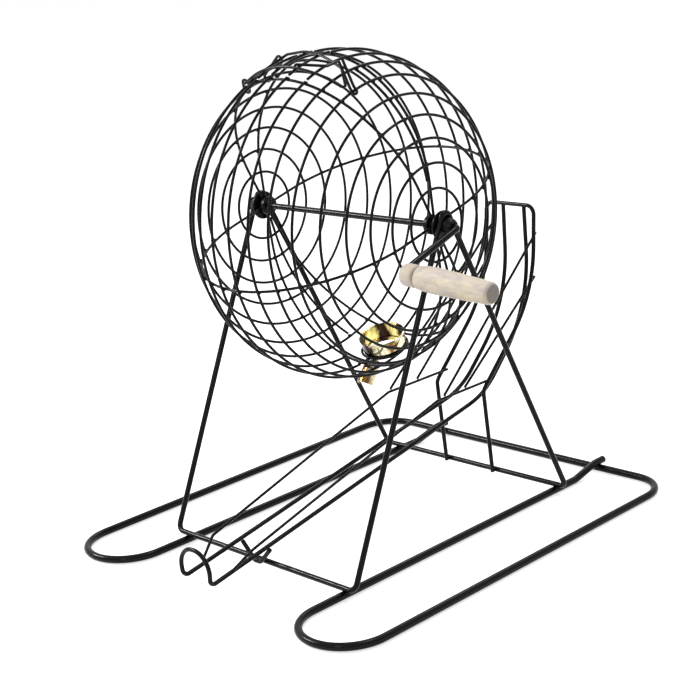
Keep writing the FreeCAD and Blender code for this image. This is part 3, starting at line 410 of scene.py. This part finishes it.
def wood_finish():
    """Pale turned wood: blotches, streaks, growth rings, pores and greyer end grain."""
    material, tree, shader, vector = new_material("turned_wood")
    local = add(tree, "Mapping", (-1500, 0), vector_type="TEXTURE")
    local.inputs["Location"].default_value = pin_start
    local.inputs["Rotation"].default_value = pin_turn.to_euler()
    tree.links.new(vector, local.inputs["Vector"])
    long_grain = add(tree, "Mapping", (-1250, 200))
    long_grain.inputs["Scale"].default_value = (0.14, 1, 1)
    tree.links.new(local.outputs["Vector"], long_grain.inputs["Vector"])
    growth_place = add(tree, "Mapping", (-1250, -200))
    growth_place.inputs["Location"].default_value = (0, 0.021, 0.016)
    growth_place.inputs["Scale"].default_value = (0.12, 1, 1)
    tree.links.new(local.outputs["Vector"], growth_place.inputs["Vector"])
    soft_grain = add(tree, "Mapping", (-1250, 500))
    soft_grain.inputs["Scale"].default_value = (0.4, 1, 1)
    tree.links.new(local.outputs["Vector"], soft_grain.inputs["Vector"])
    warm = noise(tree, soft_grain.outputs["Vector"], 210.0, 3.0, 0.55, (-950, 600), 0.3)
    warm = remap(tree, warm, 0.38, 0.64, 0.0, 1.0, (-700, 600))
    grey = noise(tree, soft_grain.outputs["Vector"], 260.0, 3.0, 0.55, (-950, 450), 0.3)
    grey = remap(tree, grey, 0.44, 0.66, 0.0, 1.0, (-700, 450))
    streaks = noise(tree, long_grain.outputs["Vector"], 420.0, 5.0, 0.6, (-950, 300), 0.6)
    streaks = remap(tree, streaks, 0.32, 0.7, 0.0, 1.0, (-700, 300))
    rings = add(tree, "TexWave", (-950, -200), wave_type="RINGS", rings_direction="X",
                Scale=165.0, Distortion=2.2, Detail=3.0, Detail_Scale=1.2)
    tree.links.new(growth_place.outputs["Vector"], rings.inputs["Vector"])
    pores = noise(tree, long_grain.outputs["Vector"], 2000.0, 1.0, 0.5, (-950, -450))
    pores = remap(tree, pores, 0.62, 0.72, 0.0, 1.0, (-700, -450))
    pale = mix_colour(tree, warm, ROSY_WOOD, YELLOW_WOOD, (-450, 500))
    grey_amount = math_node(tree, "MULTIPLY", grey, 0.6, (-450, 650))
    blotched = mix_colour(tree, grey_amount, pale, GREY_WOOD, (-350, 400))
    ringed_amount = math_node(tree, "MULTIPLY", rings.outputs["Fac"], 0.14, (-700, -150))
    ringed = mix_colour(tree, ringed_amount, blotched, LATE_WOOD, (-250, 250))
    streak_amount = math_node(tree, "MULTIPLY", streaks, 0.25, (-450, 50))
    streaked = mix_colour(tree, streak_amount, ringed, LIGHT_STREAK, (-50, 250))
    pored_amount = math_node(tree, "MULTIPLY", pores, 0.2, (-450, -400))
    pored = mix_colour(tree, pored_amount, streaked, PORE, (150, 250))
    along = add(tree, "SeparateXYZ", (-950, -700))
    tree.links.new(local.outputs["Vector"], along.inputs[0])
    # Painted shade: a narrow band along the groove is mixed towards a darker colour.
    from_groove = math_node(tree, "SUBTRACT", along.outputs["X"], grip_start + GROOVE * MM,
                            (-750, -850))
    from_groove = math_node(tree, "ABSOLUTE", from_groove, None, (-600, -850))
    groove_shade = remap(tree, from_groove, 0.5 * MM, 1.3 * MM, 0.6, 0.0, (-450, -850))
    grooved = mix_colour(tree, groove_shade, pored, GROOVE_PAINTED_SHADE, (300, 350))
    side_square = math_node(tree, "POWER", along.outputs["Y"], 2.0, (-750, -1050))
    up_square = math_node(tree, "POWER", along.outputs["Z"], 2.0, (-750, -1200))
    reach = math_node(tree, "SQRT", math_node(tree, "ADD", side_square, up_square, (-600, -1100)),
                      None, (-450, -1100))
    inside = remap(tree, reach, 4.7 * MM, 5.4 * MM, 1.0, 0.0, (-300, -1100))
    face = remap(tree, along.outputs["X"], grip_end - 0.6 * MM, grip_end - 0.2 * MM, 0.0, 0.85,
                 (-450, -700))
    face = math_node(tree, "MULTIPLY", face, inside, (-200, -900))
    ended = mix_colour(tree, face, grooved, END_GRAIN, (450, 300))
    tree.links.new(ended, shader.inputs["Base Color"])
    rough = remap(tree, streaks, 0.0, 1.0, 0.62, 0.5, (150, 0))
    tree.links.new(rough, shader.inputs["Roughness"])
    relief = math_node(tree, "SUBTRACT", streaks, pores, (150, -300))
    bump = add(tree, "Bump", (400, -300), Strength=0.5, Distance=0.00012)
    tree.links.new(relief, bump.inputs["Height"])
    tree.links.new(bump.outputs["Normal"], shader.inputs["Normal"])
    return material


turned_wood = wood_finish()

# %% [markdown]
# ## Turned pieces
# The cup, the grip and the bearings are round about one axis, so all are made the way a
# lathe hand would think of them: a circle is extruded from step to step along its axis
# and resized at each step. The ends of an open outline are then filled, and a piece
# with sharp edges gets soft ones from a bevel.

# %% A turned piece
def turned(name, outline, middle, way, sides=72, soften=0.0):
    """A piece turned about an axis through middle. outline lists (along the axis, radius) in mm.

    An outline whose last point is its first one closes into a ring, any other gets its
    two ends filled.
    """
    closed = outline[0] == outline[-1]
    bpy.ops.object.select_all(action="DESELECT")
    first, radius = outline[0]
    bpy.ops.mesh.primitive_circle_add(vertices=sides, radius=radius * MM,
                                      location=(0, 0, first * MM))
    piece = bpy.context.object
    piece.name = name
    bpy.ops.object.transform_apply(location=True)
    bpy.ops.object.mode_set(mode="EDIT")
    bpy.ops.mesh.select_all(action="SELECT")
    for along, wanted in outline[1:]:
        step = (along - first) * MM
        bpy.ops.mesh.extrude_region_move(TRANSFORM_OT_translate={"value": (0, 0, step)})
        share = wanted / radius
        bpy.ops.transform.resize(value=(share, share, 1), center_override=(0, 0, along * MM))
        first, radius = along, wanted
    bpy.ops.mesh.select_all(action="SELECT")
    if closed:
        bpy.ops.mesh.remove_doubles(threshold=0.001 * MM)
    else:
        bpy.ops.mesh.fill_holes(sides=0)
    bpy.ops.mesh.select_all(action="SELECT")
    bpy.ops.mesh.normals_make_consistent(inside=False)
    bpy.ops.object.mode_set(mode="OBJECT")
    if soften:
        bevel = piece.modifiers.new("soft edges", "BEVEL")
        bevel.width, bevel.segments = soften * MM, 3
        bevel.limit_method, bevel.angle_limit = "ANGLE", math.radians(40)
        bpy.ops.object.modifier_apply(modifier=bevel.name)
    bpy.ops.object.shade_smooth_by_angle(angle=math.radians(38))
    piece.matrix_world = Matrix.Translation(middle) @ way.to_track_quat("Z", "Y").to_matrix().to_4x4()
    bpy.ops.object.transform_apply(location=True, rotation=True, scale=True)
    return piece


def finish_piece(piece, material, body, slot, *replaced):
    """Paints a new piece and says what it rides on, and which frame nodes it stands for."""
    piece.data.materials.append(material)
    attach(piece, body)
    if replaced:
        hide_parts(*replaced)
    print(piece.name, len(piece.data.polygons), "faces")


# %% [markdown]
# ## The gold cup
# A shallow cup of thin brass sheet. Its mouth is rolled outward into a bead that no
# finger can cut itself on, its side draws in a little towards the floor, the floor's
# edge is rounded, and the hole that lets one ball out has its edge turned down. All of
# it is one closed outline: out along the outside, back along the inside.

# %% Cup
CUP_BEAD = 0.8
CUP_WALL = 0.7
CUP_HOLE = 11.5
cup_wide = max((Vector(point) - rim_middle).length for point in vertices("cup_rim")) / MM - CUP_BEAD
cup_reach = [(Vector(point) - rim_middle).dot(cup_axis) / MM for point in vertices("ball_cup")]
cup_floor = max(cup_reach)
bead = [(-CUP_BEAD * math.cos(turn), cup_wide + CUP_BEAD * math.sin(turn))
        for turn in [math.radians(angle) for angle in range(-60, 211, 30)]]
cup_inside = cup_wide - CUP_WALL
cup_outline = [(1.0, cup_wide)] + [
    (cup_floor - 3.2, cup_wide - 0.15), (cup_floor - 1.6, cup_wide - 0.4),
    (cup_floor - 0.6, cup_wide - 1.0), (cup_floor - 0.1, cup_wide - 1.8),
    (cup_floor, CUP_HOLE + 0.4), (cup_floor + 0.05, CUP_HOLE + 0.1),
    (cup_floor - 0.3, CUP_HOLE), (cup_floor - CUP_WALL, CUP_HOLE + 0.3),
    (cup_floor - CUP_WALL - 0.05, cup_inside - 1.5), (cup_floor - 1.2, cup_inside - 0.7),
    (cup_floor - 2.2, cup_inside - 0.25), (cup_floor - 3.4, cup_inside - 0.1),
    (1.0, cup_inside + 0.05)] + bead + [(1.0, cup_wide)]
gold_cup = turned("gold_cup", cup_outline, rim_middle, cup_axis, sides=96)
finish_piece(gold_cup, gold_painted_reflections, "cage", "gold_cup", "ball_cup", "cup_rim")

# %% [markdown]
# ## The wooden grip
# The collar next to the arm is a little thinner than the barrel, with a groove cut in
# with the corner of a chisel between them. The barrel swells and then thins towards its
# free end, whose edge is rounded by hand. The blind bore is open towards the arm, with
# the steel pin in it.

# %% Grip
GRIP_OUTLINE = [
    (44.0, 2.1), (0.3, 2.1), (0.0, 2.5), (0.0, 4.9), (0.3, 5.7), (1.0, 6.25), (2.2, 6.5),
    (5.0, 6.55), (8.2, 6.45), (9.1, 6.1), (GROOVE - 0.45, 5.3), (GROOVE, 4.9),
    (GROOVE + 0.45, 5.25), (11.1, 6.3), (11.9, 6.75), (13.5, 6.98), (17.5, 7.22), (24.6, 7.38),
    (32.0, 7.25), (42.0, 6.95), (52.0, 6.65), (60.6, 6.3), (61.9, 6.1), (62.8, 5.6),
    (63.3, 4.9), (63.4, 4.2), (63.25, 1.6)]
wooden_grip = turned("wooden_grip", GRIP_OUTLINE, pin_start + pin_way * grip_start, pin_way)
finish_piece(wooden_grip, turned_wood, "grip", "wood_grip", "crank_grip")

# %% [markdown]
# ## Bearings and hubs
# The stand's arches grip two moulded bearings: a wide flange towards the cage and a
# domed cap outside. The cage's hubs are short flanged bushes, black like the bearings.
# The edges of such pieces are never sharp, so each is softened and catches a thin line
# of light.

# %% Bearings, hubs and the end nut
AXLE_HOLE = 2.02
SOFT_EDGE = 0.35


def along_axle(name, node, outline, side, body):
    """A turned piece on the axle; its outline starts at the node's end nearer the cage."""
    low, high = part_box(node)
    start = low.x if side > 0 else high.x
    piece = turned(name, outline + outline[:1], Vector((start, 0, AXLE_Z)),
                   Vector((side, 0, 0)), soften=SOFT_EDGE)
    finish_piece(piece, moulded_black, body, "black_bearing", node)


bearing_outline = [
    (0.0, AXLE_HOLE), (0.0, 9.0), (1.2, 9.0), (1.2, 3.5), (4.7, 3.5), (4.7, 5.2), (5.5, 5.2),
    (6.9, 4.95), (8.2, 4.45), (9.2, 3.75), (9.7, 3.3), (9.7, AXLE_HOLE)]
hub_outline = [
    (0.0, AXLE_HOLE), (0.0, 5.9), (3.2, 5.9), (3.2, 3.6), (5.5, 3.6), (5.5, AXLE_HOLE)]
along_axle("crank_bearing", "bearing_crank_side", bearing_outline, 1, "stand")
along_axle("far_bearing", "bearing_far_side", bearing_outline, -1, "stand")
along_axle("crank_hub", "cage_hub_crank_side", hub_outline, 1, "cage")
along_axle("far_hub", "cage_hub_far_side", hub_outline, -1, "cage")

# %% [markdown]
# ## Spot welds
# Every ring is spot welded to every rib it crosses. The electrodes press the two hot
# wires into each other and leave a small flat swelling, which the paint rounds off. The
# bead is modelled once, as a flattened ball, and copied to each crossing of the cage.

# %% Where rings and ribs cross
def around_axle(points):
    """Distance from the axle and angle about it, for an array of points."""
    y, z = points[:, 1], points[:, 2] - AXLE_Z
    return np.hypot(y, z), np.arctan2(z, y)


WIRE_RADIUS = 0.85 * MM
NEAR = 2.2 * MM
OUTER_SHARE = 0.6
rings = [vertices(name) for name in nodes if name.startswith("cage_ring")]
ribs = [vertices(name) for name in nodes if name.startswith("cage_rib")]
cage_middle = sum(ring[:, 0].mean() for ring in rings) / len(rings)
widest = max(ring[:, 0].max() for ring in rings) - WIRE_RADIUS
side_radius = widest - cage_middle
crossings = []
for rib in ribs:
    rib_out, rib_turn = around_axle(rib)
    rib_turn = rib_turn[rib_out > OUTER_SHARE * rib_out.max()]
    rib_turn = math.atan2(np.sin(rib_turn).mean(), np.cos(rib_turn).mean())
    outward = Vector((0, math.cos(rib_turn), math.sin(rib_turn)))
    for ring in rings:
        ring_out = around_axle(ring)[0].mean()
        ring_x = (ring[:, 0].min() + ring[:, 0].max()) / 2
        lean = max(-1.0, min(1.0, (ring_x - cage_middle) / side_radius))
        inward = Vector((-lean, 0, 0)) - outward * math.sqrt(1 - lean ** 2)
        place = Vector((ring_x, 0, AXLE_Z)) + outward * ring_out + inward * WIRE_RADIUS
        gaps = [np.linalg.norm(points - np.array(place), axis=1).min() for points in (rib, ring)]
        if max(gaps) < NEAR:
            crossings.append((place, inward))
print(len(crossings), "crossings")


# %% Beads
BEAD_RADIUS = 1.45 * MM
BEAD_FLATNESS = 0.62


def weld_bead():
    """One bead: a ball pressed flat, with its widest part in the plane of the two wires."""
    bpy.ops.object.select_all(action="DESELECT")
    bpy.ops.mesh.primitive_ico_sphere_add(subdivisions=2, radius=BEAD_RADIUS)
    bead_piece = bpy.context.object
    bpy.ops.object.mode_set(mode="EDIT")
    bpy.ops.mesh.select_all(action="SELECT")
    bpy.ops.transform.resize(value=(1, 1, BEAD_FLATNESS), center_override=(0, 0, 0))
    bpy.ops.object.mode_set(mode="OBJECT")
    bpy.ops.object.shade_smooth()
    return bead_piece


def place_beads(name, bead_piece, places, body):
    """Copies of a bead with meshes of their own, joined into one piece."""
    copies = []
    for place, facing in places:
        one = bead_piece.copy()
        one.data = bead_piece.data.copy()
        bpy.context.scene.collection.objects.link(one)
        one.matrix_world = (Matrix.Translation(place)
                            @ facing.to_track_quat("Z", "Y").to_matrix().to_4x4())
        copies.append(one)
    bpy.data.objects.remove(bead_piece)
    bpy.ops.object.select_all(action="DESELECT")
    for one in copies:
        one.select_set(True)
    bpy.context.view_layer.objects.active = copies[0]
    bpy.ops.object.join()
    bpy.ops.object.transform_apply(location=True, rotation=True, scale=True)
    joined = bpy.context.object
    joined.name = name
    finish_piece(joined, wire_paint, body, "cage_wire")


place_beads("cage_welds", weld_bead(), crossings, "cage")

# %% [markdown]
# ## Finishes on the frame's own pieces
# A rod whose shape is right keeps the frame's mesh and only needs its paint. The
# record says which finish slot each node has, so a loop does it for all of them. Only
# the lip under the cup has its own bands of painted reflections.

# %% Paint the frame
finishes = {"black_rod": rod_paint, "cage_wire": wire_paint, "black_bearing": moulded_black,
            "gold_cup": gold_painted_reflections, "wood_grip": turned_wood}
node_slot = {part["node"]: part["material_slot"] for part in frame["record"]["subparts"]}
for node, obj in nodes.items():
    finish = lip_painted_reflections if node == "cup_lip" else finishes[node_slot[node]]
    for material_slot in obj.material_slots:
        material_slot.material = finish
print("painted", len(nodes), "nodes")

# %% [markdown]
# ## Studio
# The object stands on a white floor in a white room, under soft lamps. The floor and
# the room are white to the camera and to reflections, while the lamps and the room's
# own light stay at a level at which a colour looks as it is written. The key lamp is
# long and stands to the left, so that the axle catches it as one fine line. The floor
# lies a hair below the rods, so that no two surfaces share a plane.

# %% Floor
FLOOR_SIZE = 8.0
FLOOR_GLOW = 0.62
FLOOR_DROP = 0.3 * MM


def floor_finish():
    """White floor: its own light to the camera and in reflections, and a lit part that keeps shadows."""
    material = bpy.data.materials.new("studio_floor")
    material.use_nodes = True
    tree = material.node_tree
    tree.nodes.clear()
    output = add(tree, "OutputMaterial", (600, 0))
    path = add(tree, "LightPath", (-600, 300))
    lit = add(tree, "BsdfDiffuse", (-200, 0), Color=(0.8, 0.8, 0.8, 1))
    glow = add(tree, "Emission", (-200, -200), Color=(1, 1, 1, 1), Strength=FLOOR_GLOW)
    both = add(tree, "AddShader", (100, -100))
    pick = add(tree, "MixShader", (350, 0))
    seen = math_node(tree, "MAXIMUM", path.outputs["Is Camera Ray"],
                     path.outputs["Is Glossy Ray"], (-300, 300))
    seen = math_node(tree, "MAXIMUM", seen, path.outputs["Is Transmission Ray"], (-100, 300))
    tree.links.new(lit.outputs[0], both.inputs[0])
    tree.links.new(glow.outputs[0], both.inputs[1])
    tree.links.new(seen, pick.inputs[0])
    tree.links.new(lit.outputs[0], pick.inputs[1])
    tree.links.new(both.outputs[0], pick.inputs[2])
    tree.links.new(pick.outputs[0], output.inputs["Surface"])
    return material


bpy.ops.object.select_all(action="DESELECT")
bpy.ops.mesh.primitive_plane_add(size=FLOOR_SIZE, location=(0, 0, -FLOOR_DROP))
floor = bpy.context.object
floor.name = "studio_floor"
floor.data.materials.append(floor_finish())


# %% Room
ROOM_LIGHT = 0.5


def build_room():
    """World light: white to the camera, to reflections and through glass, a soft grey as light."""
    world = bpy.data.worlds.new("studio_room")
    bpy.context.scene.world = world
    world.use_nodes = True
    tree = world.node_tree
    tree.nodes.clear()
    output = add(tree, "OutputWorld", (500, 0))
    path = add(tree, "LightPath", (-600, 300))
    ambient = add(tree, "Background", (0, -150), Color=(1, 1, 1, 1), Strength=ROOM_LIGHT)
    white = add(tree, "Background", (0, 150), Color=(1, 1, 1, 1), Strength=1.0)
    seen = math_node(tree, "MAXIMUM", path.outputs["Is Camera Ray"],
                     path.outputs["Is Glossy Ray"], (-300, 300))
    seen = math_node(tree, "MAXIMUM", seen, path.outputs["Is Transmission Ray"], (-100, 300))
    pick = add(tree, "MixShader", (250, 0))
    tree.links.new(seen, pick.inputs[0])
    tree.links.new(ambient.outputs[0], pick.inputs[1])
    tree.links.new(white.outputs[0], pick.inputs[2])
    tree.links.new(pick.outputs[0], output.inputs["Surface"])


build_room()

# %% Camera
CAMERA_AZIMUTH = 0.8185
CAMERA_HEIGHT = 0.2819
CAMERA_ROLL = -0.0888
CAMERA_TARGET = Vector((-0.006844, -0.001984, 0.112416))
CAMERA_DISTANCE = 0.989016
LENS = 81.02

camera_back = Vector((math.sin(CAMERA_AZIMUTH) * math.cos(CAMERA_HEIGHT),
                      -math.cos(CAMERA_AZIMUTH) * math.cos(CAMERA_HEIGHT),
                      math.sin(CAMERA_HEIGHT)))
level_right = (-camera_back).cross(Vector((0, 0, 1))).normalized()
level_up = level_right.cross(-camera_back)
camera_right = level_right * math.cos(CAMERA_ROLL) + level_up * math.sin(CAMERA_ROLL)
camera_up = level_up * math.cos(CAMERA_ROLL) - level_right * math.sin(CAMERA_ROLL)
camera_data = bpy.data.cameras.new("camera")
camera_data.lens = LENS
camera_data.sensor_width = 36.0
camera_data.sensor_fit = "HORIZONTAL"
camera_data.clip_start = 0.05
camera = bpy.data.objects.new("camera", camera_data)
bpy.context.scene.collection.objects.link(camera)
turn = Matrix((camera_right, camera_up, camera_back)).transposed().to_4x4()
camera.matrix_world = Matrix.Translation(CAMERA_TARGET + camera_back * CAMERA_DISTANCE) @ turn
bpy.context.scene.camera = camera
print("camera at", [round(v, 4) for v in camera.matrix_world.translation])


# %% Lamps
AIM = Vector((0, 0, AXLE_Z * 0.75))


def soft_lamp(name, direction, distance, across, tall, power):
    """A soft lamp that looks at the cage's lower half from a direction.

    across is the side of it that runs nearest to the axle's way and tall is the other
    one; both are in metres, like the distance.
    """
    lamp = bpy.data.lights.new(name, "AREA")
    lamp.shape = "RECTANGLE"
    lamp.size, lamp.size_y = across, tall
    lamp.energy = power
    obj = bpy.data.objects.new(name, lamp)
    bpy.context.scene.collection.objects.link(obj)
    way = Vector(direction).normalized()
    level = (Vector((1, 0, 0)) - way * way.x).normalized()
    turn = Matrix((level, way.cross(level), way)).transposed().to_4x4()
    obj.matrix_world = Matrix.Translation(AIM + way * distance) @ turn


soft_lamp("key_lamp", (-0.70, -0.47, 0.54), distance=1.3, across=0.5, tall=0.14, power=17.0)
soft_lamp("top_lamp", (0.15, 0.27, 0.95), distance=1.3, across=0.22, tall=0.22, power=4.5)
soft_lamp("front_lamp", (0.35, -0.85, 0.45), distance=1.5, across=0.2, tall=0.2, power=2.2)
soft_lamp("back_lamp", (-0.3, 0.66, 0.69), distance=1.5, across=0.4, tall=0.4, power=3.0)

# %% Finish
bpy.context.scene.view_settings.view_transform = "Standard"
